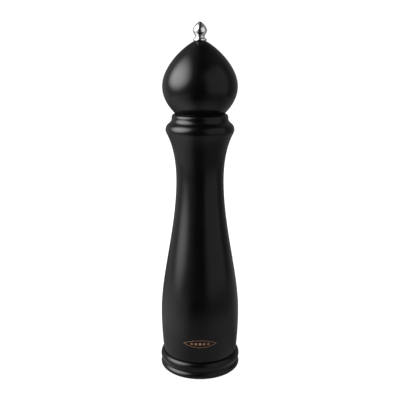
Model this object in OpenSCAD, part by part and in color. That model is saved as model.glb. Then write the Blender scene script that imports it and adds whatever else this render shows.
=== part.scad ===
// Turned wooden pepper mill with an onion-shaped head and a chromed acorn knob.
// The origin is the centre of the underside, +Z is up and the front faces -Y.
// Turning the head turns a square spindle, which carries the grinding rotor inside a fixed ring.
// Screwing the knob down draws the spindle up and closes the gap between the burrs.

/* [Outside] */
// Radius of the two beads round the foot
foot_r = 35.6; // [35:0.1:36]
// Radius of the belly
belly_r = 34.8; // [34:0.1:35]
// Radius of the waist, where the hand holds the mill
waist_r = 20.6; // [20:0.1:21]
// Radius of the bead under the neck
collar_r = 29.4; // [28.5:0.1:30]
// Radius of the head
head_r = 31.8; // [31:0.1:32]
// Height of the body, without the head
body_h = 229.8; // [229.8:0.1:230]

/* [Chamber] */
// Radius of the bore that holds the peppercorns
chamber_r = 13; // [13:0.1:13.3]
// Radius of the open mouth, inside the neck bush
mouth_r = 15.2; // [15:0.1:15.3]

/* [Grinder] */
// Radius of the rotor at its bottom edge
rotor_r = 11.8; // [11.5:0.1:11.9]
// Gap between the fine teeth, measured along the radius
burr_gap = 0.45; // [0.4:0.01:0.6]
// Number of fine teeth on each burr
fine_teeth = 24; // [18:1:30]
// Number of coarse flutes on the rotor
coarse_flutes = 6; // [5:1:7]

/* [Spindle] */
// Width of the square spindle
spindle_w = 6; // [5.8:0.1:6]
// Radius of the thread at each end of the spindle
thread_r = 2.5; // [2.3:0.1:2.5]
// Pitch of the thread, which is how far one turn of the knob moves the spindle
thread_pitch = 0.8; // [0.7:0.1:0.8]

/* [Hidden] */

$fn = 96;
curve_steps = 18;
fit_gap = 0.05;
cut = 1;

// Foot: two beads, one above the other, with a narrow groove between them
foot_corner_r = 29.8;
bead_inner_r = 32.4;
bead_end_deg = 55;
low_bead_z = 3.3;
groove_z = 7;
groove_r = 34.05;
high_bead_z = 11.1;
foot_top_r = 32.9;
foot_top_z = 16.4;

// Body curve: heights of the belly and waist
belly_z = 52;
waist_z = 173.3;

// Collar: bead, cove and rounded lip
collar_z = 216.4;
collar_bead_r = 6.23;
collar_low_deg = 27.8;
collar_high_deg = 48.4;
neck_r = 24.1;
cove_r = 5.24;
cove_z = 226.25;
lip_r = 2.98;

// Underside of the body
recess_r = 24.5;
recess_z = 7;
pocket_r = 17.95;
pocket_top_z = 25.2;
pilot_depth = 13;

// Neck bush
bush_seat_r = 16.5;
bush_z = 213.6;
bush_flange_r = 20;
bush_flange_t = 0.9;
bush_proud = 0.1;

// Head
head_z = 230.2;
head_foot_r = 21.4;
head_wide_z = 252.5;
head_top_r = 5.1;
head_top_z = 289.4;
spigot_r = 14.95;
spigot_z = 217.5;
head_bore_r = 4.6;
head_bore_top_z = 283;
rod_hole_r = 3;
washer_seat_r = 4.45;
washer_seat_t = 0.8;

// Knob
knob_z = 289.5;
knob_wide_r = 5.79;
knob_wide_z = 298.2;
knob_tip_z = 305;
knob_bore_top_z = 301.6;
knob_seat = [5.2, knob_z];
knob_flange_top = [4.9, 291.5];
knob_neck = [3.75, 292.5];
knob_crease = [5.35, 296.2];
knob_cap = [5.55, 296.4];
knob_wide = [knob_wide_r, knob_wide_z];

// Drive plate under the spigot
plate_r = 12.6;
plate_t = 1.5;
plate_screw_x = 8.5;
plate_screw_r = 1.2;

// Grinder
rotor_z = 8;
fine_h = 6;
rotor_h = 22;
rotor_top_r = 6.8;
fine_slope = 0.25;
fine_cut_w = 0.9;
flute_w = 2.9;
funnel_cut_w = 1.7;
funnel_top_r = 13.2;
cup_r = 17.85;
cup_inner_r = 17.05;
cup_flange_r = 23.6;
cup_flange_t = 1.2;
cup_top_z = 24;
cup_outlet_r = 13.6;
cup_scallop_r = 9;
cup_scallop_out = 28.6;
screw_circle_r = 20.4;
screw_count = 3;
screw_r = 1.4;
screw_head_r = 2.6;
nut_top_z = 5.95;
nut_t = 3.1;
nut_flat_r = 4;
rotor_washer_r = 5;
lock_washer_r = 4.3;

// Bridge and guide
bridge_z = 46;
bridge_t = 1.2;
bridge_w = 7;
bridge_ring_r = 12.2;
bridge_boss_r = 8;
leg_out = 12.9;
leg_in = 11.9;
guide_journal_r = 5.6;
guide_bottom_z = 44.6;
guide_flange_r = 7.2;
guide_flange_t = 1.3;
clip_r = 7.1;
clip_t = 0.55;
clip_z = 45.2;
clip_opening = 3.2;
square_gap = 0.15;

// Spindle
rod_square_z = 8;
rod_square_top_z = 281.5;
rod_bottom_z = 2;
rod_top_z = 300.6;
rod_corner_r = 4.1;
thread_depth = 0.45;
thread_root_r = thread_r - thread_depth;
rod_tip_r = 1.7;

// Spring
spring_r = 5.1;
spring_wire_r = 0.42;
spring_low_z = 30.85;
spring_top_z = 44.5;
spring_turns = 6;

// Points along a cubic curve from a to d, leaving out the first point
function curve(a, b, c, d, n = curve_steps) =
    [for (i = [1 : n]) let (t = i / n, s = 1 - t)
        s * s * s * a + 3 * s * s * t * b + 3 * s * t * t * c + t * t * t * d];

// Points along an elliptical arc, including both ends
function arc(centre, rx, rz, from_deg, to_deg, n = 12) =
    [for (i = [0 : n]) let (a = from_deg + (to_deg - from_deg) * i / n)
        [centre[0] + rx * cos(a), centre[1] + rz * sin(a)]];

// Outline of the foot, from the floor up
function foot_outline() = concat(
        arc([foot_corner_r, low_bead_z], foot_r - foot_corner_r, low_bead_z, -90, 0, 8),
        arc([bead_inner_r, low_bead_z], foot_r - bead_inner_r, 3.7, 0, bead_end_deg, 8),
        [[groove_r, groove_z]],
        arc([bead_inner_r, high_bead_z], foot_r - bead_inner_r, 4.25, -bead_end_deg, 0, 8),
        arc([foot_top_r - 0.1, high_bead_z], foot_r - foot_top_r + 0.1, 4.7, 0, 78, 8),
        [[foot_top_r - 0.2, foot_top_z - 0.5], [foot_top_r, foot_top_z]]);

// Outline from the top of the foot to the start of the collar bead
function side_outline() = let (
        flare = 13.3,
        bead_centre_r = collar_r - collar_bead_r,
        start = [bead_centre_r + collar_bead_r * cos(collar_low_deg),
                 collar_z - collar_bead_r * sin(collar_low_deg)])
    concat(
        curve([foot_top_r, foot_top_z], [foot_top_r + 0.4, foot_top_z + 3.2],
              [belly_r, belly_z - 19], [belly_r, belly_z]),
        curve([belly_r, belly_z], [belly_r, belly_z + 35],
              [waist_r, waist_z - 43], [waist_r, waist_z], 24),
        curve([waist_r, waist_z], [waist_r, waist_z + flare],
              start - flare * [sin(collar_low_deg), cos(collar_low_deg)], start));

// Outline of the collar, from its bead to the inner edge of its top face
function collar_outline() = concat(
        arc([collar_r - collar_bead_r, collar_z], collar_bead_r, collar_bead_r,
            -collar_low_deg, collar_high_deg, 14),
        arc([neck_r + cove_r, cove_z], cove_r, cove_r, 180 + collar_high_deg, 180, 8),
        arc([neck_r - lip_r, body_h - lip_r], lip_r, lip_r, 0, 90, 8));

// Outline of the head's dome, from its shoulder to its top
function dome_outline() = concat(
        [[head_foot_r, head_z]],
        curve([head_foot_r, head_z], [head_foot_r + 6.7, head_z + 7.05],
              [head_r, head_wide_z - 8.3], [head_r, head_wide_z]),
        curve([head_r, head_wide_z], [head_r, head_wide_z + 14],
              [head_top_r + 12.7, head_top_z - 7], [head_top_r, head_top_z], 24));

// Outline of the acorn knob: flange, neck, crease and pointed dome
function knob_outline() = concat(
        [[0, knob_z], knob_seat],
        curve(knob_seat, [5.85, 289.9], [5.85, 291.1], knob_flange_top, 8),
        curve(knob_flange_top, [4.3, 291.8], [3.75, 292], knob_neck, 8),
        curve(knob_neck, [3.75, 293.5], [4.6, 295], knob_crease, 8),
        [knob_cap],
        curve(knob_cap, [5.7, 297], [knob_wide_r, knob_wide_z - 0.6], knob_wide, 5),
        curve(knob_wide, [knob_wide_r, knob_wide_z + 1.8], [2.3, knob_tip_z - 0.1],
              [0, knob_tip_z], 14));

// Ridges of a thread as they cross the (r, z) plane
function thread_outline(low_z, high_z) = let (
        turns = floor((high_z - low_z) / thread_pitch))
    [for (i = [0 : turns - 1])
        each [[thread_root_r, low_z + i * thread_pitch],
              [thread_r, low_z + (i + 0.5) * thread_pitch]]];

module turned(outline) {
    rotate_extrude() polygon(outline);
}

// Solid of revolution between two radii and two heights
module ring(outer, inner, low_z, high_z) {
    translate([0, 0, low_z]) difference() {
        cylinder(r = outer, h = high_z - low_z);
        translate([0, 0, -cut]) cylinder(r = inner, h = high_z - low_z + 2 * cut);
    }
}

module square_bar(width, low_z, high_z) {
    translate([0, 0, low_z]) linear_extrude(high_z - low_z) square(width, center = true);
}

module bore(radius, low_z, high_z) {
    translate([0, 0, low_z]) cylinder(r = radius, h = high_z - low_z);
}

// Round-headed wood screw pointing up, with its head and cross slot below seat_z
module upward_screw(seat_z, shank, head, length) {
    point_h = 2;
    dome_h = 1.6;
    slot_w = 0.6;
    slot_l = 2.8;
    translate([0, 0, seat_z]) difference() {
        union() {
            cylinder(r = shank, h = length - point_h);
            translate([0, 0, length - point_h]) cylinder(r1 = shank, r2 = 0.2, h = point_h);
            turned(concat([[0, 0]], arc([0, 0], head, dome_h, 0, -90, 8)));
        }
        for (turn = [0, 90])
            rotate(turn) translate([-slot_l / 2, -slot_w / 2, -2]) cube([slot_l, slot_w, 1.2]);
    }
}

module around(count) {
    for (i = [0 : count - 1]) rotate(360 * i / count) children();
}

// Long square cutter on one edge, tilted outwards by lean and along the burr by skew
module tooth_cutter(out, z, lean, skew, width, length) {
    translate([out, 0, z]) rotate([skew, lean, 0]) rotate(45)
        cube([width, width, length], center = true);
}

// One copy on each side of the axis
module both_sides(x) {
    for (side = [-1, 1]) translate([x * side, 0, 0]) children();
}

// Turned wooden body with its through bore, mouth and mechanism pocket
module body_casing() {
    color("#1a1a1c") difference() {
        turned(concat([[0, 0]], foot_outline(), side_outline(), collar_outline(), [[0, body_h]]));
        bore(recess_r, -cut, recess_z);
        bore(pocket_r, recess_z - cut, pocket_top_z);
        bore(chamber_r, recess_z, body_h);
        bore(bush_seat_r, bush_z - 0.1, body_h + cut);
        bore(bush_flange_r + fit_gap, body_h + bush_proud - bush_flange_t - fit_gap, body_h + cut);
        around(screw_count) translate([screw_circle_r, 0, 0])
            bore(screw_r + fit_gap, recess_z - cut, recess_z + pilot_depth);
    }
}

// Flanged nylon bush let into the mouth, where it carries the turning head
module neck_bush() {
    top_z = body_h + bush_proud;
    color("#232326") difference() {
        union() {
            bore(bush_seat_r - fit_gap, bush_z, top_z);
            bore(bush_flange_r, top_z - bush_flange_t, top_z);
        }
        bore(mouth_r, bush_z - cut, top_z + cut);
    }
}

// Pressed steel cup with a flange that is screwed to the underside of the body
module stator_cup() {
    flange_z = recess_z - cup_flange_t;
    color("#b9bcc0") difference() {
        union() {
            bore(cup_flange_r, flange_z, recess_z);
            bore(cup_r, flange_z, cup_top_z);
        }
        bore(cup_inner_r, recess_z, cup_top_z + cut);
        bore(cup_outlet_r, flange_z - cut, recess_z + cut);
        around(screw_count) translate([screw_circle_r, 0, 0])
            bore(screw_r + 0.2, flange_z - cut, recess_z + cut);
        around(screw_count) rotate(180 / screw_count) translate([cup_scallop_out, 0, 0])
            bore(cup_scallop_r, flange_z - cut, recess_z + cut);
    }
}

// Fixed burr: fine teeth at the bottom, opening into a toothed funnel
module stator_ring() {
    low_z = recess_z + fit_gap;
    throat_z = rotor_z + fine_h;
    low_r = rotor_r + burr_gap + fine_slope * (rotor_z - low_z);
    throat_r = rotor_r + burr_gap - fine_slope * fine_h;
    color("#6f7277") difference() {
        turned([[low_r, low_z], [cup_inner_r - fit_gap, low_z], [cup_inner_r - fit_gap, cup_top_z],
                [funnel_top_r, cup_top_z], [throat_r, throat_z]]);
        around(fine_teeth)
            tooth_cutter(rotor_r + burr_gap - fine_slope * fine_h / 2, throat_z - fine_h / 2,
                         -14, 14, fine_cut_w, fine_h * 1.6);
        around(2 * coarse_flutes)
            tooth_cutter((throat_r + funnel_top_r) / 2, (throat_z + cup_top_z) / 2,
                         14, 22, funnel_cut_w, 13);
    }
}

// Three wood screws that hold the flanged cup
module mechanism_screws() {
    color("#c9cbce") around(screw_count) translate([screw_circle_r, 0, 0])
        upward_screw(recess_z - cup_flange_t, screw_r, screw_head_r, 12);
}

// Stamped bridge that stands on the fixed burr and carries the spindle guide
module bridge_bracket() {
    ring_z = cup_top_z + 0.1;
    color("#b9bcc0") difference() {
        union() {
            ring(cup_r - fit_gap, bridge_ring_r, ring_z, ring_z + 1);
            for (left = [-leg_out, leg_in])
                translate([left, -bridge_w / 2, ring_z])
                    cube([leg_out - leg_in, bridge_w, bridge_z + bridge_t - ring_z]);
            translate([-leg_out, -bridge_w / 2, bridge_z])
                cube([2 * leg_out, bridge_w, bridge_t]);
            bore(bridge_boss_r, bridge_z, bridge_z + bridge_t);
        }
        bore(guide_journal_r + fit_gap, bridge_z - cut, bridge_z + bridge_t + cut);
        ring(2 * leg_out, chamber_r - fit_gap, ring_z + 1.1, bridge_z + bridge_t + cut);
    }
}

// Flanged brass bush with a square hole: it turns with the spindle, which slides through it
module guide_bush() {
    flange_z = bridge_z + bridge_t + 0.1;
    color("#b08d3e") difference() {
        union() {
            bore(guide_journal_r, guide_bottom_z, flange_z);
            bore(guide_flange_r, flange_z, flange_z + guide_flange_t);
        }
        ring(guide_journal_r + cut, guide_journal_r - 0.4, clip_z - fit_gap, clip_z + clip_t + fit_gap);
        square_bar(spindle_w + 2 * square_gap, guide_bottom_z - cut, flange_z + guide_flange_t + cut);
    }
}

// Open spring clip in the groove of the guide bush, under the bridge
module guide_clip() {
    color("#8d9095") difference() {
        ring(clip_r, guide_journal_r - 0.38, clip_z, clip_z + clip_t);
        translate([0, -clip_opening / 2, clip_z - cut]) cube([clip_r + cut, clip_opening, 3 * cut]);
    }
}

// Spring between the rotor and the guide bush, which takes the play out of the thread
module compression_spring() {
    sides = 6;
    per_turn = 16;
    count = spring_turns * per_turn;
    travel = spring_top_z - spring_low_z - 2 * spring_wire_r;
    points = [for (i = [0 : count], j = [0 : sides - 1]) let (
            turn = 360 * i / per_turn, around_wire = 360 * j / sides,
            r = spring_r + spring_wire_r * cos(around_wire),
            z = spring_low_z + spring_wire_r + travel * i / count)
        [r * cos(turn), r * sin(turn), z + spring_wire_r * sin(around_wire)]];
    walls = [for (i = [0 : count - 1], j = [0 : sides - 1]) let (
            a = i * sides + j, b = i * sides + (j + 1) % sides)
        each [[a, a + sides, b], [b, a + sides, b + sides]]];
    first_cap = [[for (j = [0 : sides - 1]) j]];
    last_cap = [[for (j = [sides - 1 : -1 : 0]) count * sides + j]];
    color("#9a9da2") polyhedron(points, concat(walls, first_cap, last_cap), convexity = 10);
}

// Square steel spindle with a thread at each end
module spindle_rod() {
    color("#c4c6c9") {
        translate([0, 0, rod_square_z]) linear_extrude(rod_square_top_z - rod_square_z)
            intersection() {
                square(spindle_w, center = true);
                circle(r = rod_corner_r);
            }
        turned(concat([[0, rod_square_top_z - 0.5], [rod_tip_r, rod_square_top_z - 0.5]],
                      thread_outline(rod_square_top_z, rod_top_z - 0.4),
                      [[rod_tip_r, rod_top_z], [0, rod_top_z]]));
        turned(concat([[0, rod_bottom_z], [rod_tip_r, rod_bottom_z]],
                      thread_outline(rod_bottom_z + 0.4, rod_square_z),
                      [[rod_tip_r, rod_square_z + 0.5], [0, rod_square_z + 0.5]]));
    }
}

// Turning burr: coarse flutes draw the corns down to the fine teeth at the bottom
module rotor_burr() {
    fine_top_r = rotor_r - fine_slope * fine_h;
    top_z = rotor_z + rotor_h;
    color("#6f7277") difference() {
        turned([[0, rotor_z], [rotor_r, rotor_z], [fine_top_r, rotor_z + fine_h],
                [fine_top_r - 0.1, rotor_z + fine_h], [rotor_top_r, top_z], [0, top_z]]);
        square_bar(spindle_w + 0.1, rotor_z - cut, top_z + cut);
        around(fine_teeth)
            tooth_cutter(rotor_r - fine_slope * fine_h / 2, rotor_z + fine_h / 2,
                         -14, -14, fine_cut_w, fine_h * 1.6);
        around(coarse_flutes)
            tooth_cutter((fine_top_r + rotor_top_r) / 2 + 0.8, rotor_z + fine_h + 9,
                         -12, -24, flute_w, 20);
    }
}

// Washer on the rotor, under the spring
module thrust_washer() {
    low_z = rotor_z + rotor_h + fit_gap;
    color("#c4c6c9") ring(6.6, rod_corner_r + 0.1, low_z, low_z + 0.7);
}

// Washer between the rotor and its nut
module end_washer() {
    color("#c4c6c9") ring(rotor_washer_r, thread_r + fit_gap, rotor_z - 0.85, rotor_z - fit_gap);
}

// Split washer that keeps the nut from working loose
module lock_washer() {
    color("#8d9095") difference() {
        ring(lock_washer_r, thread_r + fit_gap, nut_top_z + fit_gap, rotor_z - 0.9);
        translate([0, -0.3, nut_top_z - cut]) cube([lock_washer_r + cut, 0.6, 4]);
    }
}

// Hexagon nut that holds the rotor on the spindle
module rotor_nut() {
    low_z = nut_top_z - nut_t;
    color("#c4c6c9") difference() {
        translate([0, 0, low_z]) intersection() {
            cylinder(r = nut_flat_r / cos(30), h = nut_t, $fn = 6);
            cylinder(r1 = nut_flat_r + 0.1, r2 = nut_flat_r + nut_t, h = nut_t);
        }
        bore(thread_r + fit_gap, low_z - cut, nut_top_z + cut);
    }
}

// Turned wooden head with the spigot that turns in the neck bush
module head_dome() {
    color("#1a1a1c") difference() {
        union() {
            turned(concat([[0, head_z]], dome_outline(), [[0, head_top_z]]));
            bore(spigot_r, spigot_z, head_z + cut);
        }
        bore(head_bore_r, spigot_z - cut, head_bore_top_z);
        bore(rod_hole_r, spigot_z, head_top_z + cut);
        bore(washer_seat_r, head_top_z - washer_seat_t, head_top_z + cut);
        both_sides(plate_screw_x) bore(plate_screw_r + fit_gap, spigot_z - cut, spigot_z + 9);
    }
}

// Steel plate under the spigot: its square hole makes the spindle turn with the head
module drive_plate() {
    low_z = spigot_z - fit_gap - plate_t;
    color("#c4c6c9") difference() {
        bore(plate_r, low_z, low_z + plate_t);
        square_bar(spindle_w + 2 * square_gap, low_z - cut, spigot_z + cut);
        both_sides(plate_screw_x) bore(plate_screw_r + 0.2, low_z - cut, spigot_z + cut);
    }
}

// Two screws that hold the drive plate
module drive_plate_screws() {
    color("#c9cbce") both_sides(plate_screw_x)
        upward_screw(spigot_z - plate_t - 2 * fit_gap, plate_screw_r, 2.3, 9.5);
}

// Steel washer let into the top of the head, under the knob
module top_washer() {
    color("#c4c6c9")
        ring(washer_seat_r - fit_gap, rod_hole_r - 0.1,
             head_top_z - washer_seat_t + fit_gap, head_top_z - fit_gap);
}

// Chromed acorn knob: a nut that holds the head down and sets the grind
module adjusting_knob() {
    color("#d9dce0") difference() {
        turned(knob_outline());
        bore(thread_r + fit_gap, knob_z - cut, knob_bore_top_z);
    }
}

body_casing();
neck_bush();
stator_cup();
stator_ring();
mechanism_screws();
bridge_bracket();
guide_bush();
guide_clip();
compression_spring();
spindle_rod();
rotor_burr();
thrust_washer();
end_washer();
lock_washer();
rotor_nut();
head_dome();
drive_plate();
drive_plate_screws();
top_washer();
adjusting_knob();
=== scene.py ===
"""Looks of the turned wooden pepper mill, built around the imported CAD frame.

Lengths in the shape functions are millimetres in the CAD frame: +Z up, front towards -Y.
"""

import math

import bpy
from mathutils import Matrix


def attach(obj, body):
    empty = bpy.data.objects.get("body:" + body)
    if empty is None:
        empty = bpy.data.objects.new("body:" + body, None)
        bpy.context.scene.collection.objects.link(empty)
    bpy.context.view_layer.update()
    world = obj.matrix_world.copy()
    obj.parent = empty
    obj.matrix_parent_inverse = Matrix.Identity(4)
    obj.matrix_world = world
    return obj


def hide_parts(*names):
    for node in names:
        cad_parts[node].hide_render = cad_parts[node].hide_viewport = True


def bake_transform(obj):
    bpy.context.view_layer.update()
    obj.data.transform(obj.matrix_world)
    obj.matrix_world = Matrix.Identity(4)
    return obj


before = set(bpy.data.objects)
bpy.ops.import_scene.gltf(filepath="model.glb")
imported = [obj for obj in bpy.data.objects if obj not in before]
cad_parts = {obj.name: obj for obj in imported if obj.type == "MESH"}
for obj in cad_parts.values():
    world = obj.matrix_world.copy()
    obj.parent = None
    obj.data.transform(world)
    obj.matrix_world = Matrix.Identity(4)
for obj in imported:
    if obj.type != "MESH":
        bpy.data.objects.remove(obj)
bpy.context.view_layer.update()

MM = 0.001
TURNED_STEPS = 256

# Driving sizes, the same as in the CAD
FOOT_R, BELLY_R, WAIST_R = 35.6, 34.8, 20.6
COLLAR_R, NECK_R, HEAD_R = 29.4, 24.1, 31.8
COLLAR_BEAD_R, COLLAR_LOW_DEG, COLLAR_HIGH_DEG = 6.23, 27.8, 48.4
BODY_H = 229.8
CHAMBER_R, MOUTH_SEAT_R, BUSH_FLANGE_R = 13.0, 16.5, 20.05
RECESS_R, POCKET_R, SPIGOT_R = 24.5, 17.95, 14.95
SPINDLE_W, SPINDLE_CORNER_R = 6.0, 4.1
THREAD_R, THREAD_PITCH, THREAD_DEPTH = 2.5, 0.8, 0.45
SPRING_R, SPRING_WIRE_R, SPRING_TURNS = 5.1, 0.42, 6

# Heights along the turning axis
FOOT_TOP = (32.9, 16.4)
BELLY_Z, WAIST_Z, COLLAR_Z = 52.0, 173.3, 216.4
HEAD_FOOT = (21.4, 230.2)
HEAD_WIDE_Z, HEAD_TOP_Z = 252.5, 289.4
KNOB_Z, KNOB_WIDE_Z, KNOB_TIP_Z = 289.5, 298.2, 305.0
SPIGOT_Z = 217.5
RECESS_Z, POCKET_TOP_Z = 7.0, 25.2
ROD_BOTTOM_Z, ROD_SQUARE_Z, ROD_SQUARE_TOP_Z, ROD_TOP_Z = 2.0, 8.0, 281.5, 300.6
SPRING_LOW_Z, SPRING_TOP_Z = 30.85, 44.5
MARK_Z = 34.4

# Lights, in metres
LIGHT_DISTANCE, LIGHT_AIM_Z = 2.5, 0.16


# ---------------------------------------------------------------- outlines

def curve(a, b, c, d, steps):
    """Points along a cubic curve from a to d, leaving out the first point."""
    points = []
    for i in range(1, steps + 1):
        t = i / steps
        weights = ((1 - t) ** 3, 3 * (1 - t) ** 2 * t, 3 * (1 - t) * t * t, t ** 3)
        points.append(tuple(sum(w * p[k] for w, p in zip(weights, (a, b, c, d))) for k in (0, 1)))
    return points


def arc(centre, rx, rz, start, end, steps):
    """Points along an elliptical arc between two angles in degrees, with both ends."""
    points = []
    for i in range(steps + 1):
        angle = math.radians(start + (end - start) * i / steps)
        points.append((centre[0] + rx * math.cos(angle), centre[1] + rz * math.sin(angle)))
    return points


def softened(corners, radius, steps=4):
    """A closed outline whose corners are rounded off, each as far as its sides allow."""
    points = []
    count = len(corners)
    for i, corner in enumerate(corners):
        before, after = corners[i - 1], corners[(i + 1) % count]
        cut = min(radius, math.dist(before, corner) / 2.5, math.dist(corner, after) / 2.5)
        start = toward(corner, before, cut)
        end = toward(corner, after, cut)
        for k in range(steps + 1):
            t = k / steps
            points.append(tuple((1 - t) ** 2 * start[j] + 2 * t * (1 - t) * corner[j] + t * t * end[j]
                                for j in (0, 1)))
    return points


def toward(a, b, distance):
    share = distance / max(math.dist(a, b), 1e-9)
    return (a[0] + (b[0] - a[0]) * share, a[1] + (b[1] - a[1]) * share)


def foot_outline():
    """Two beads with a soft groove between them, from the floor up to the body."""
    corner_r, low_z, high_z, inner_r = 29.8, 3.3, 11.1, 32.4
    low_half, high_half_below, high_half_above = 3.7, 4.25, 4.7
    bead_end, shoulder_end = 55, 78
    top_r, top_z = FOOT_TOP
    groove = (34.0, 7.0)
    low_bead = arc((inner_r, low_z), FOOT_R - inner_r, low_half, 0, bead_end, 16)
    high_bead = arc((inner_r, high_z), FOOT_R - inner_r, high_half_below, -bead_end, 0, 16)
    return (arc((corner_r, low_z), FOOT_R - corner_r, low_z, -90, 0, 20)
            + low_bead[1:]
            + curve(low_bead[-1], (34.05, 6.48), (34.0, 6.75), groove, 5)
            + curve(groove, (34.0, 7.25), (34.05, 7.45), high_bead[0], 5)[:-1]
            + high_bead
            + arc((top_r - 0.1, high_z), FOOT_R - top_r + 0.1, high_half_above, 0, shoulder_end, 18)[1:]
            + [(top_r - 0.2, top_z - 0.5), FOOT_TOP])


def side_outline():
    """Belly and waist, from the foot to the start of the collar bead."""
    low, flare = math.radians(COLLAR_LOW_DEG), 13.3
    belly, waist = (BELLY_R, BELLY_Z), (WAIST_R, WAIST_Z)
    start = (COLLAR_R - COLLAR_BEAD_R * (1 - math.cos(low)), COLLAR_Z - COLLAR_BEAD_R * math.sin(low))
    before = (start[0] - flare * math.sin(low), start[1] - flare * math.cos(low))
    return (curve(FOOT_TOP, (FOOT_TOP[0] + 0.4, FOOT_TOP[1] + 3.2), (BELLY_R, BELLY_Z - 19), belly, 30)
            + curve(belly, (BELLY_R, BELLY_Z + 35), (WAIST_R, WAIST_Z - 43), waist, 60)
            + curve(waist, (WAIST_R, WAIST_Z + flare), before, start, 40))


def collar_outline():
    """Bead, cove and rounded lip under the head."""
    cove_r, cove_z, lip_r = 5.24, 226.25, 2.98
    low, high = -COLLAR_LOW_DEG, COLLAR_HIGH_DEG
    return (arc((COLLAR_R - COLLAR_BEAD_R, COLLAR_Z), COLLAR_BEAD_R, COLLAR_BEAD_R, low, high, 32)[1:]
            + arc((NECK_R + cove_r, cove_z), cove_r, cove_r, 180 + high, 180, 20)
            + arc((NECK_R - lip_r, BODY_H - lip_r), lip_r, lip_r, 0, 90, 20))


def dome_outline():
    """Onion-shaped head, from its shoulder to its top."""
    wide = (HEAD_R, HEAD_WIDE_Z)
    top = (5.1, HEAD_TOP_Z)
    return ([HEAD_FOOT]
            + curve(HEAD_FOOT, (HEAD_FOOT[0] + 6.7, HEAD_FOOT[1] + 7.05),
                    (HEAD_R, HEAD_WIDE_Z - 8.3), wide, 40)
            + curve(wide, (HEAD_R, HEAD_WIDE_Z + 14), (top[0] + 12.7, top[1] - 7), top, 60))


def knob_outline():
    """Acorn knob: flange, neck, crease and pointed dome, from its seat to its tip."""
    seat, flange, neck = (5.2, KNOB_Z), (4.9, 291.5), (3.75, 292.5)
    crease, cap, wide = (5.35, 296.2), (5.55, 296.4), (5.79, KNOB_WIDE_Z)
    return ([seat]
            + curve(seat, (5.85, 289.9), (5.85, 291.1), flange, 16)
            + curve(flange, (4.3, 291.8), (3.75, 292.0), neck, 14)
            + curve(neck, (3.75, 293.5), (4.6, 295.0), crease, 16)
            + [cap]
            + curve(cap, (5.7, 297.0), (5.79, KNOB_WIDE_Z - 0.6), wide, 8)
            + curve(wide, (5.79, KNOB_WIDE_Z + 1.8), (2.3, 304.9), (0.0, KNOB_TIP_Z), 36))


# ---------------------------------------------------------------- mesh tools

def mesh_object(name, vertices, faces, sharp_deg=35.0):
    """A smooth-shaded object from points in millimetres, with its sharp edges marked."""
    mesh = bpy.data.meshes.new(name)
    mesh.from_pydata([tuple(c * MM for c in v) for v in vertices], [], faces)
    mesh.validate()
    mesh.shade_smooth()
    mesh.set_sharp_from_angle(angle=math.radians(sharp_deg))
    made = bpy.data.objects.new(name, mesh)
    bpy.context.scene.collection.objects.link(made)
    return made


def turned(name, outline, steps=TURNED_STEPS, closed=True):
    """A solid of revolution. A closed outline is a loop of (r, z) points, listed anticlockwise;
    an open one starts and ends on the axis."""
    vertices, rings = [], []
    for r, z in outline:
        if r < 1e-6:
            rings.append([len(vertices)])
            vertices.append((0.0, 0.0, z))
            continue
        rings.append(list(range(len(vertices), len(vertices) + steps)))
        for i in range(steps):
            angle = 2 * math.pi * i / steps
            vertices.append((r * math.cos(angle), r * math.sin(angle), z))
    faces = []
    pairs = list(zip(rings, rings[1:] + rings[:1])) if closed else list(zip(rings, rings[1:]))
    for low, high in pairs:
        for i in range(steps):
            j = (i + 1) % steps
            if len(low) == 1:
                faces.append((low[0], high[j], high[i]))
            elif len(high) == 1:
                faces.append((low[i], low[j], high[0]))
            else:
                faces.append((low[i], low[j], high[j], high[i]))
    return mesh_object(name, vertices, faces)


def swept_tube(name, path, radius, sides=12):
    """A closed tube along a path of points round the Z axis."""
    vertices, faces = [], []
    for i, (x, y, z) in enumerate(path):
        out = math.hypot(x, y)
        for k in range(sides):
            angle = 2 * math.pi * k / sides
            stretch = 1 + radius * math.cos(angle) / out
            vertices.append((x * stretch, y * stretch, z + radius * math.sin(angle)))
        if i:
            base = (i - 1) * sides
            for k in range(sides):
                n = (k + 1) % sides
                faces.append((base + k, base + sides + k, base + sides + n, base + n))
    last = (len(path) - 1) * sides
    faces.append(tuple(range(sides)))
    faces.append(tuple(last + k for k in reversed(range(sides))))
    return mesh_object(name, vertices, faces, sharp_deg=50)


def give(piece, *materials):
    piece.data.materials.clear()
    for material in materials:
        piece.data.materials.append(material)


def paint_where(piece, slot, test):
    """Faces whose centre (r, z), in millimetres, passes the test take that material slot."""
    for face in piece.data.polygons:
        c = face.center
        if test(math.hypot(c.x, c.y) / MM, c.z / MM):
            face.material_index = slot


# ---------------------------------------------------------------- materials

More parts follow.
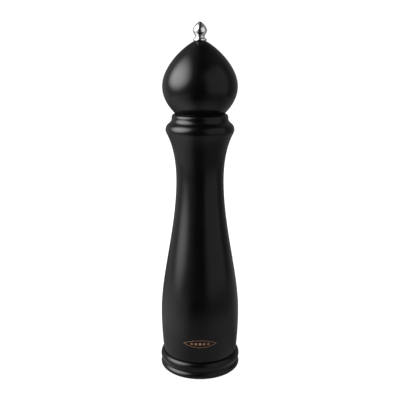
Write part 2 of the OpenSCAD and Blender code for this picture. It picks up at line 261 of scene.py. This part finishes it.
class Nodes:
    """Short calls for building a material's node tree."""

    def __init__(self, name):
        self.material = bpy.data.materials.new(name)
        self.material.use_nodes = True
        self.tree = self.material.node_tree
        self.shader = self.tree.nodes["Principled BSDF"]

    def add(self, kind, inputs=None, **settings):
        node = self.tree.nodes.new(kind)
        for key, value in settings.items():
            setattr(node, key, value)
        for key, value in (inputs or {}).items():
            self.put(self.socket(node, key), value)
        return node

    def socket(self, node, key):
        """An input by its name, taking the one in use where several share that name."""
        if isinstance(key, int):
            return node.inputs[key]
        return next(i for i in node.inputs if i.name == key and i.enabled)

    def put(self, socket, value):
        if isinstance(value, bpy.types.NodeSocket):
            self.tree.links.new(value, socket)
        else:
            socket.default_value = value

    def set(self, **values):
        for key, value in values.items():
            self.put(self.shader.inputs[key.replace("_", " ").title()], value)

    def maths(self, operation, *values):
        node = self.add("ShaderNodeMath", operation=operation)
        for socket, value in zip(node.inputs, values):
            self.put(socket, value)
        return node.outputs[0]

    def place(self, scale=(1, 1, 1)):
        """Object coordinates in metres, stretched by scale."""
        where = self.add("ShaderNodeTexCoord").outputs["Object"]
        mapping = self.add("ShaderNodeMapping", {"Vector": where, "Scale": scale})
        return mapping.outputs["Vector"]

    def noise(self, vector, scale, detail=3.0, roughness=0.5):
        return self.add("ShaderNodeTexNoise", {
            "Vector": vector, "Scale": scale, "Detail": detail, "Roughness": roughness})

    def spread(self, value, low, high, from_low=0.0, from_high=1.0):
        return self.add("ShaderNodeMapRange", {
            "Value": value, "From Min": from_low, "From Max": from_high,
            "To Min": low, "To Max": high}).outputs["Result"]

    def ramp(self, value, *stops):
        node = self.add("ShaderNodeValToRGB", {"Fac": value})
        ramp = node.color_ramp
        while len(ramp.elements) < len(stops):
            ramp.elements.new(0.5)
        for element, (position, colour) in zip(ramp.elements, stops):
            element.position = position
            element.color = (*colour, 1.0)
        return node.outputs["Color"]

    def bump(self, height, distance, strength=1.0, below=None):
        inputs = {"Height": height, "Distance": distance, "Strength": strength}
        if below is not None:
            inputs["Normal"] = below
        return self.add("ShaderNodeBump", inputs).outputs["Normal"]


def black_lacquer():
    """Satin black: a faint orange peel over the drowned grain, and scuffs on the resting edge."""
    n = Nodes("black_lacquer")
    where = n.place()
    film = n.noise(where, 700.0, 2.0).outputs["Fac"]
    grain = n.noise(n.place((1.0, 1.0, 0.05)), 2600.0, 3.0).outputs["Fac"]
    cloud = n.noise(where, 55.0, 3.0).outputs["Fac"]
    height = n.add("ShaderNodeSeparateXYZ", {"Vector": where}).outputs["Z"]
    near_table = n.spread(height, 0.22, 0.0, 0.0002, 0.0016)
    scuffs = n.maths("MULTIPLY", near_table, n.noise(where, 1500.0, 3.0).outputs["Fac"])
    rough = n.maths("ADD", n.spread(cloud, 0.185, 0.225, 0.3, 0.7), scuffs)
    colour = n.ramp(cloud, (0.35, (0.0009, 0.0009, 0.0010)), (0.7, (0.0015, 0.0015, 0.0016)))
    normal = n.bump(grain, 0.000003, below=n.bump(film, 0.000003))
    n.set(Base_color=colour, Roughness=rough, Normal=normal)
    n.put(n.shader.inputs["IOR"], 1.3)
    return n.material


def bare_beech():
    """Turned beech with upright fibres, growth bands, short brown flecks and tool marks."""
    n = Nodes("bare_beech")
    fibres = n.noise(n.place((1.0, 1.0, 0.08)), 1100.0, 5.0, 0.6).outputs["Fac"]
    bands = n.add("ShaderNodeTexWave", {
        "Vector": n.place((1.0, 0.45, 0.06)), "Scale": 85.0, "Distortion": 5.0, "Detail": 3.0,
        "Detail Scale": 1.6}, bands_direction="X").outputs["Fac"]
    both = n.maths("MULTIPLY_ADD", bands, 0.35, n.maths("MULTIPLY", fibres, 0.65))
    wood = n.ramp(both, (0.25, (0.33, 0.185, 0.09)), (0.5, (0.50, 0.315, 0.17)),
                  (0.75, (0.62, 0.425, 0.255)))
    flecks = n.noise(n.place((1.0, 1.0, 0.16)), 2400.0, 1.0).outputs["Fac"]
    fleck_mask = n.spread(flecks, 0.0, 0.75, 0.60, 0.68)
    colour = n.add("ShaderNodeMix", {"Factor": fleck_mask, "A": wood, "B": (0.20, 0.095, 0.04, 1)},
                   data_type="RGBA")
    lathe_lines = n.add("ShaderNodeTexWave", {
        "Vector": n.place(), "Scale": 380.0, "Distortion": 0.6, "Detail": 1.0},
        bands_direction="Z").outputs["Fac"]
    normal = n.bump(lathe_lines, 0.00001, below=n.bump(fibres, 0.00002))
    n.set(Base_color=colour.outputs[2], Roughness=n.spread(fibres, 0.55, 0.75, 0.3, 0.7),
          Normal=normal)
    return n.material


def metal(name, low, high, rough_low, rough_high, scale=700.0, stretch=(1, 1, 1), depth=0.000004):
    """Bare or plated metal whose colour and polish vary a little over its surface."""
    n = Nodes(name)
    marks = n.noise(n.place(stretch), scale, 4.0, 0.6).outputs["Fac"]
    n.set(Base_color=n.ramp(marks, (0.3, low), (0.7, high)), Metallic=1.0,
          Roughness=n.spread(marks, rough_low, rough_high, 0.3, 0.7), Normal=n.bump(marks, depth))
    return n.material


def black_nylon():
    n = Nodes("black_nylon")
    grain = n.noise(n.place(), 1800.0, 2.0).outputs["Fac"]
    n.set(Base_color=n.ramp(grain, (0.3, (0.010, 0.010, 0.011)), (0.7, (0.016, 0.016, 0.017))),
          Roughness=n.spread(grain, 0.42, 0.52, 0.3, 0.7), Normal=n.bump(grain, 0.00001))
    return n.material


def copper_print():
    n = Nodes("copper_print")
    flakes = n.noise(n.place(), 2500.0, 2.0).outputs["Fac"]
    n.set(Base_color=n.ramp(flakes, (0.3, (0.17, 0.085, 0.045)), (0.7, (0.29, 0.15, 0.08))),
          Metallic=0.6, Roughness=n.spread(flakes, 0.38, 0.5, 0.3, 0.7))
    return n.material


LACQUER, BEECH, NYLON, PRINT = black_lacquer(), bare_beech(), black_nylon(), copper_print()
CHROME = metal("chrome", (0.80, 0.80, 0.82), (0.86, 0.86, 0.88), 0.035, 0.055, scale=300.0,
               depth=0.0000005)
ZINC = metal("zinc_steel", (0.42, 0.43, 0.44), (0.60, 0.61, 0.62), 0.26, 0.42)
BURR = metal("burr_steel", (0.10, 0.10, 0.105), (0.19, 0.19, 0.195), 0.34, 0.5)
BAR = metal("bar_steel", (0.44, 0.44, 0.45), (0.58, 0.58, 0.59), 0.24, 0.34, scale=1500.0,
            stretch=(1, 1, 0.03), depth=0.0000015)
BRASS = metal("brass", (0.52, 0.33, 0.11), (0.70, 0.48, 0.19), 0.24, 0.4)


# ---------------------------------------------------------------- pieces

def wooden_body():
    """Turned body with its mouth, chamber, pocket and recess; only the outside is lacquered."""
    outside = foot_outline() + side_outline() + collar_outline()
    flange_z, seat_z = 228.95, 213.5
    inside = softened([
        (BUSH_FLANGE_R, BODY_H), (BUSH_FLANGE_R, flange_z), (MOUTH_SEAT_R, flange_z),
        (MOUTH_SEAT_R, seat_z), (CHAMBER_R, seat_z), (CHAMBER_R, POCKET_TOP_Z),
        (POCKET_R, POCKET_TOP_Z), (POCKET_R, RECESS_Z), (RECESS_R, RECESS_Z), (RECESS_R, 0.0)], 0.4)
    piece = turned("turned_body", outside + inside)
    give(piece, LACQUER, BEECH)
    paint_where(piece, 1, lambda r, z: z < POCKET_TOP_Z + 1 and r < RECESS_R + 0.05
                or r < CHAMBER_R + 0.3 or z > seat_z - 0.5 and r < BUSH_FLANGE_R - 0.1)
    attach(piece, "mill_body")
    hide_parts("body_casing")


def wooden_head():
    """Onion-shaped head with its bare spigot and bore."""
    washer_seat_r, washer_seat_z = 4.45, 288.6
    rod_hole_r, bore_r, bore_top_z = 3.0, 4.6, 283.0
    inside = softened([
        (washer_seat_r, HEAD_TOP_Z), (washer_seat_r, washer_seat_z), (rod_hole_r, washer_seat_z),
        (rod_hole_r, bore_top_z), (bore_r, bore_top_z), (bore_r, SPIGOT_Z), (SPIGOT_R, SPIGOT_Z),
        (SPIGOT_R, HEAD_FOOT[1])], 0.3)
    piece = turned("turned_head", dome_outline() + inside)
    give(piece, LACQUER, BEECH)
    paint_where(piece, 1, lambda r, z: z < HEAD_FOOT[1] - 0.05
                or r < bore_r + 0.1 and z < washer_seat_z - 0.1)
    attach(piece, "head")
    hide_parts("head_dome")


def square_radius(angle):
    """Reach of the spindle's square section, whose corners are turned down."""
    flat = SPINDLE_W / 2 / max(abs(math.cos(angle)), abs(math.sin(angle)))
    return min(flat, SPINDLE_CORNER_R)


def threaded_spindle():
    """Square bar with a real helical thread at each end."""
    face_end = math.degrees(math.acos(SPINDLE_W / 2 / SPINDLE_CORNER_R))
    face = [face_end * (i / 6 - 1) for i in range(13)]
    angles = [math.radians(90 * side + a) for side in range(4) for a in face + [45]]
    rows_per_turn = 8
    tip_r, chamfer = 1.7, 0.35

    def thread_rows(low, high):
        """Rings whose radius rises and falls along the helix, and runs out at both ends."""
        rows = []
        count = round((high - low) / THREAD_PITCH * rows_per_turn)
        for i in range(count + 1):
            z = low + (high - low) * i / count
            fade = min(1.0, i / rows_per_turn, (count - i) / rows_per_turn)
            ring = []
            for a in angles:
                phase = (z / THREAD_PITCH - a / (2 * math.pi)) % 1.0
                ridge = 1 - abs(2 * phase - 1)
                ring.append((THREAD_R - THREAD_DEPTH + THREAD_DEPTH * ridge * fade, z))
            rows.append(ring)
        return rows

    def square_row(z, inset=0.0):
        return [(square_radius(a) - inset, z) for a in angles]

    def round_row(r, z):
        return [(r, z) for _ in angles]

    rows = ([round_row(tip_r, ROD_BOTTOM_Z)] + thread_rows(ROD_BOTTOM_Z + chamfer, ROD_SQUARE_Z)
            + [square_row(ROD_SQUARE_Z, 0.4), square_row(ROD_SQUARE_Z + 0.4),
               square_row(ROD_SQUARE_TOP_Z - 0.4), square_row(ROD_SQUARE_TOP_Z, 0.4)]
            + thread_rows(ROD_SQUARE_TOP_Z, ROD_TOP_Z - chamfer) + [round_row(tip_r, ROD_TOP_Z)])
    vertices = [(r * math.cos(a), r * math.sin(a), z)
                for row in rows for a, (r, z) in zip(angles, row)]
    count = len(angles)
    faces = [tuple(reversed(range(count)))]
    for i in range(len(rows) - 1):
        for k in range(count):
            n = (k + 1) % count
            faces.append((i * count + k, i * count + n, (i + 1) * count + n, (i + 1) * count + k))
    faces.append(tuple((len(rows) - 1) * count + k for k in range(count)))
    piece = mesh_object("threaded_spindle", vertices, faces, sharp_deg=25)
    give(piece, BAR)
    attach(piece, "spindle")
    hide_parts("spindle_rod")


def coil_spring():
    """Wire spring with a closed turn at each end, made at one fixed length."""
    steps_per_turn = 36
    steps = steps_per_turn * SPRING_TURNS
    low, high = SPRING_LOW_Z + SPRING_WIRE_R, SPRING_TOP_Z - SPRING_WIRE_R
    dead = 1 / SPRING_TURNS
    dead_rise = 2 * SPRING_WIRE_R / (high - low)
    path = []
    for i in range(steps + 1):
        t = i / steps
        if t < dead:
            rise = dead_rise * t / dead
        elif t > 1 - dead:
            rise = 1 - dead_rise * (1 - t) / dead
        else:
            rise = dead_rise + (1 - 2 * dead_rise) * (t - dead) / (1 - 2 * dead)
        turn = 2 * math.pi * SPRING_TURNS * t
        path.append((SPRING_R * math.cos(turn), SPRING_R * math.sin(turn), low + (high - low) * rise))
    piece = swept_tube("coil_spring", path, SPRING_WIRE_R)
    give(piece, BAR)
    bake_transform(piece)
    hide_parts("compression_spring")


def lens(half_length, half_height, steps=40):
    """A pointed oval of (x, z) points, anticlockwise from its right tip."""
    radius = (half_length ** 2 + half_height ** 2) / (2 * half_height)
    upper = []
    for i in range(steps):
        x = half_length * math.cos(math.pi * i / steps)
        upper.append((x, math.sqrt(radius ** 2 - x ** 2) - (radius - half_height)))
    return upper + [(-x, -z) for x, z in upper]


def front_mark():
    """Printed motif on the front: a row of peppercorns in a pointed oval."""
    outline = side_outline()
    above, below = 0.03, -0.05
    vertices, faces = [], []

    def wrap(x, z, lift):
        """A point of the flat motif, laid on the body."""
        z += MARK_Z
        low, high = next((a, b) for a, b in zip(outline, outline[1:]) if a[1] <= z <= b[1])
        r = low[0] + (high[0] - low[0]) * (z - low[1]) / (high[1] - low[1]) + lift
        return (r * math.sin(x / r), -r * math.cos(x / r), z)

    def add_loops(loops):
        """Loops of (x, z, lift) joined one to the next, and the last to the first."""
        base, count = len(vertices), len(loops[0])
        for loop in loops:
            vertices.extend(wrap(*point) for point in loop)
        for i in range(len(loops)):
            j = (i + 1) % len(loops)
            for k in range(count):
                n = (k + 1) % count
                faces.append((base + i * count + k, base + i * count + n,
                              base + j * count + n, base + j * count + k))

    def lifted(loop, lift):
        return [(x, z, lift) for x, z in loop]

    def add_corn(x, radius, sides=20):
        """A small disc with a closed rim and back."""
        base = len(vertices)
        for size, lift in ((radius, below), (radius, above), (radius * 0.5, above)):
            for k in range(sides):
                a = 2 * math.pi * k / sides
                vertices.append(wrap(x + size * math.cos(a), size * math.sin(a), lift))
        for i in (0, 1):
            for k in range(sides):
                n = (k + 1) % sides
                faces.append((base + i * sides + k, base + i * sides + n,
                              base + (i + 1) * sides + n, base + (i + 1) * sides + k))
        faces.append(tuple(base + k for k in reversed(range(sides))))
        faces.append(tuple(base + 2 * sides + k for k in range(sides)))

    outer, inner = lens(15.0, 3.4), lens(14.2, 3.12)
    spacing, middle_r, shrink = 3.6, 1.35, 0.2
    add_loops([lifted(outer, below), lifted(outer, above), lifted(inner, above), lifted(inner, below)])
    for i in range(-2, 3):
        add_corn(spacing * i, middle_r - shrink * abs(i))
    piece = mesh_object("front_mark", vertices, faces)
    give(piece, PRINT)
    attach(piece, "mill_body")


def chrome_knob():
    """Acorn knob with its blind bore."""
    bore_r, bore_top = 2.55, 301.6
    bore = [(0.0, bore_top), (bore_r, bore_top), (bore_r, KNOB_Z)]
    piece = turned("acorn_knob", bore + knob_outline(), steps=160, closed=False)
    give(piece, CHROME)
    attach(piece, "knob")
    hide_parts("adjusting_knob")


def build_pieces():
    wooden_body()
    wooden_head()
    chrome_knob()
    threaded_spindle()
    coil_spring()
    front_mark()


def dress_cad_nodes():
    """The CAD nodes that stay take these materials."""
    looks = {
        "neck_bush": NYLON, "stator_cup": ZINC, "stator_ring": BURR, "mechanism_screws": ZINC,
        "bridge_bracket": ZINC, "guide_bush": BRASS, "guide_clip": BAR, "rotor_burr": BURR,
        "thrust_washer": ZINC, "end_washer": ZINC, "lock_washer": BAR, "rotor_nut": ZINC,
        "drive_plate": ZINC, "drive_plate_screws": ZINC, "top_washer": ZINC}
    for name, material in looks.items():
        give(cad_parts[name], material)


# ---------------------------------------------------------------- studio

def edge(tree, value, start, end):
    """Smooth step of a socket from 0 at start to 1 at end."""
    node = tree.nodes.new("ShaderNodeMapRange")
    node.interpolation_type = "SMOOTHSTEP"
    node.inputs["From Min"].default_value = start
    node.inputs["From Max"].default_value = end
    tree.links.new(value, node.inputs["Value"])
    return node.outputs["Result"]


def maths(tree, operation, *values):
    node = tree.nodes.new("ShaderNodeMath")
    node.operation = operation
    for socket, value in zip(node.inputs, values):
        if isinstance(value, bpy.types.NodeSocket):
            tree.links.new(value, socket)
        else:
            socket.default_value = value
    return node.outputs[0]


def area_light(name, bearing, elevation, width, height, radiance, pattern):
    """An area light that faces the mill. The pattern makes a brightness of its tree, u and v.

    The bearing is in degrees to the right of the front, and the elevation is its middle's.
    After a second bounce it is a tenth as strong, so the knob casts no hot spot on the lacquer."""
    turn, rise = math.radians(bearing), math.radians(elevation)
    data = bpy.data.lights.new(name, "AREA")
    data.shape = "RECTANGLE"
    data.size, data.size_y = width, height
    data.energy = radiance * math.pi * width * height
    data.use_nodes = True
    tree = data.node_tree
    tree.nodes.clear()
    across = tree.nodes.new("ShaderNodeSeparateXYZ")
    tree.links.new(tree.nodes.new("ShaderNodeNewGeometry").outputs["Parametric"], across.inputs[0])
    emission = tree.nodes.new("ShaderNodeEmission")
    tree.links.new(emission.outputs[0], tree.nodes.new("ShaderNodeOutputLight").inputs[0])
    depth = tree.nodes.new("ShaderNodeLightPath").outputs["Ray Depth"]
    early = maths(tree, "LESS_THAN", depth, 2.5)
    share = maths(tree, "MULTIPLY_ADD", early, 0.9, 0.1)
    brightness = pattern(tree, across.outputs["X"], across.outputs["Y"])
    tree.links.new(maths(tree, "MULTIPLY", brightness, share), emission.inputs["Strength"])
    light = bpy.data.objects.new(name, data)
    flat = LIGHT_DISTANCE * math.cos(rise)
    light.location = (flat * math.sin(turn), -flat * math.cos(turn),
                      LIGHT_AIM_Z + LIGHT_DISTANCE * math.sin(rise))
    light.rotation_euler = (math.radians(90) - rise, 0, turn)
    light.visible_camera = False
    bpy.context.scene.collection.objects.link(light)


def octabox(name, bearing, elevation, spread, radiance, core):
    """A round softbox, bright as far out as core and fading to nothing at spread degrees."""
    def pattern(tree, u, v):
        x, y = (maths(tree, "MULTIPLY_ADD", c, 2.0, -1.0) for c in (u, v))
        out = maths(tree, "SQRT", maths(tree, "MULTIPLY_ADD", x, x, maths(tree, "MULTIPLY", y, y)))
        return edge(tree, out, 1.0, core)

    size = 2 * LIGHT_DISTANCE * math.tan(math.radians(spread))
    area_light(name, bearing, elevation, size, size, radiance, pattern)


def fill_panel(name, bearing, elevation, width, height, radiance, fade, top_fade):
    """A broad panel that fades out over its outer parts, and faster at its top."""
    def pattern(tree, u, v):
        across = maths(tree, "MULTIPLY", edge(tree, u, 0.0, fade), edge(tree, u, 1.0, 1.0 - fade))
        upwards = maths(tree, "MULTIPLY", edge(tree, v, 0.0, fade), edge(tree, v, 1.0, 1.0 - top_fade))
        return maths(tree, "MULTIPLY", across, upwards)

    area_light(name, bearing, elevation, width, height, radiance, pattern)


def studio_world():
    """White to the camera; to the mill's gloss, a dim room.

    It is paler on both sides, most on the left, and behind the mill and overhead on the left."""
    world = bpy.data.worlds.new("studio")
    bpy.context.scene.world = world
    world.use_nodes = True
    tree = world.node_tree
    tree.nodes.clear()
    add, link = tree.nodes.new, tree.links.new
    split = add("ShaderNodeSeparateXYZ")
    link(add("ShaderNodeTexCoord").outputs["Generated"], split.inputs[0])
    left_wall = edge(tree, split.outputs["X"], -0.2, -0.95)
    right_wall = edge(tree, split.outputs["X"], 0.1, 0.6)
    back_wall = edge(tree, split.outputs["Y"], 0.3, 0.9)
    ceiling = maths(tree, "MULTIPLY", edge(tree, split.outputs["Z"], 0.55, 0.95),
                    edge(tree, split.outputs["X"], 0.05, -0.4))
    light = maths(tree, "MULTIPLY_ADD", left_wall, 0.6, 0.02)
    light = maths(tree, "MULTIPLY_ADD", right_wall, 0.2, light)
    light = maths(tree, "MULTIPLY_ADD", back_wall, 0.1, light)
    light = maths(tree, "MULTIPLY_ADD", ceiling, 0.4, light)
    room = add("ShaderNodeBackground")
    link(light, room.inputs["Strength"])
    soft = add("ShaderNodeBackground")
    soft.inputs["Strength"].default_value = 0.5
    white = add("ShaderNodeBackground")
    white.inputs["Strength"].default_value = 1.03
    for each in (soft, white):
        each.inputs["Color"].default_value = (1, 1, 1, 1)
    path = add("ShaderNodeLightPath")
    unseen = add("ShaderNodeMixShader")
    link(path.outputs["Is Glossy Ray"], unseen.inputs["Fac"])
    link(soft.outputs[0], unseen.inputs[1])
    link(room.outputs[0], unseen.inputs[2])
    seen = add("ShaderNodeMixShader")
    link(path.outputs["Is Camera Ray"], seen.inputs["Fac"])
    link(unseen.outputs[0], seen.inputs[1])
    link(white.outputs[0], seen.inputs[2])
    link(seen.outputs[0], add("ShaderNodeOutputWorld").inputs["Surface"])


def disc(name, radius, height):
    bpy.ops.mesh.primitive_circle_add(vertices=96, radius=radius, fill_type="NGON",
                                      location=(0, 0, height))
    made = bpy.context.object
    made.name = name
    return made


def floor():
    """White floor. It glows, so that the mill's shadow all but vanishes."""
    made = disc("floor", 4.0, -0.0003)
    made.visible_glossy = False
    n = Nodes("floor")
    n.set(Base_color=(0.15, 0.15, 0.15, 1.0), Roughness=0.8, Emission_color=(1, 1, 1, 1),
          Emission_strength=0.97)
    made.data.materials.append(n.material)


def table_card():
    """A glowing sheet seen only in the mill's gloss: a painted reflection of the table, pale near its
    foot and beside it, most on its left.
    """
    made = disc("table_card", 0.6, -0.0006)
    made.visible_camera = made.visible_diffuse = made.visible_shadow = False
    n = Nodes("table_card")
    where = n.add("ShaderNodeTexCoord").outputs["Object"]
    split = n.add("ShaderNodeSeparateXYZ", {"Vector": where}).outputs
    out = n.add("ShaderNodeVectorMath", {0: where}, operation="LENGTH").outputs["Value"]
    sideways = n.maths("DIVIDE", split["X"], out)
    backwards = n.maths("DIVIDE", split["Y"], out)
    near = n.maths("MULTIPLY", edge(n.tree, out, 0.32, 0.08),
                   n.spread(backwards, 0.46, 0.03, -0.5, 0.2))
    left = n.maths("MULTIPLY", edge(n.tree, sideways, -0.3, -1.0),
                   n.spread(backwards, 1.2, 0.34, -0.1, 0.7))
    right = n.maths("MULTIPLY", edge(n.tree, sideways, 0.0, 0.7), 0.28)
    # Painted shade: the glow beside the mill is dimmed close to its foot.
    beside = n.maths("MULTIPLY", n.maths("ADD", left, right),
                     n.spread(edge(n.tree, out, 0.04, 0.18), 0.25, 1.0))
    glow = n.maths("ADD", near, n.maths("ADD", beside, 0.03))
    n.set(Base_color=(0, 0, 0, 1), Emission_color=(1, 1, 1, 1), Emission_strength=glow)
    n.put(n.shader.inputs["Specular IOR Level"], 0.0)
    made.data.materials.append(n.material)


def studio():
    studio_world()
    floor()
    table_card()
    octabox("left_softbox", bearing=-75, elevation=28, spread=42, radiance=12.5, core=0.15)
    fill_panel("right_panel", bearing=57, elevation=14, width=5.1, height=5.1, radiance=0.6,
               fade=0.3, top_fade=0.22)


def display():
    """Plain display colours, so that white paper stays white."""
    view = bpy.context.scene.view_settings
    view.view_transform = "Standard"
    view.look = "None"


def camera():
    """The view: a little above the mill, looking slightly down at its middle."""
    tilt, distance, aim_z = math.radians(13.0), 0.55965, 0.15451
    data = bpy.data.cameras.new("camera")
    data.sensor_width = 36.0
    data.lens = 57.6
    made = bpy.data.objects.new("camera", data)
    made.location = (0.0, -distance * math.cos(tilt), aim_z + distance * math.sin(tilt))
    made.rotation_euler = (math.radians(90) - tilt, 0, 0)
    bpy.context.scene.collection.objects.link(made)
    bpy.context.scene.camera = made


build_pieces()
dress_cad_nodes()
studio()
display()
camera()
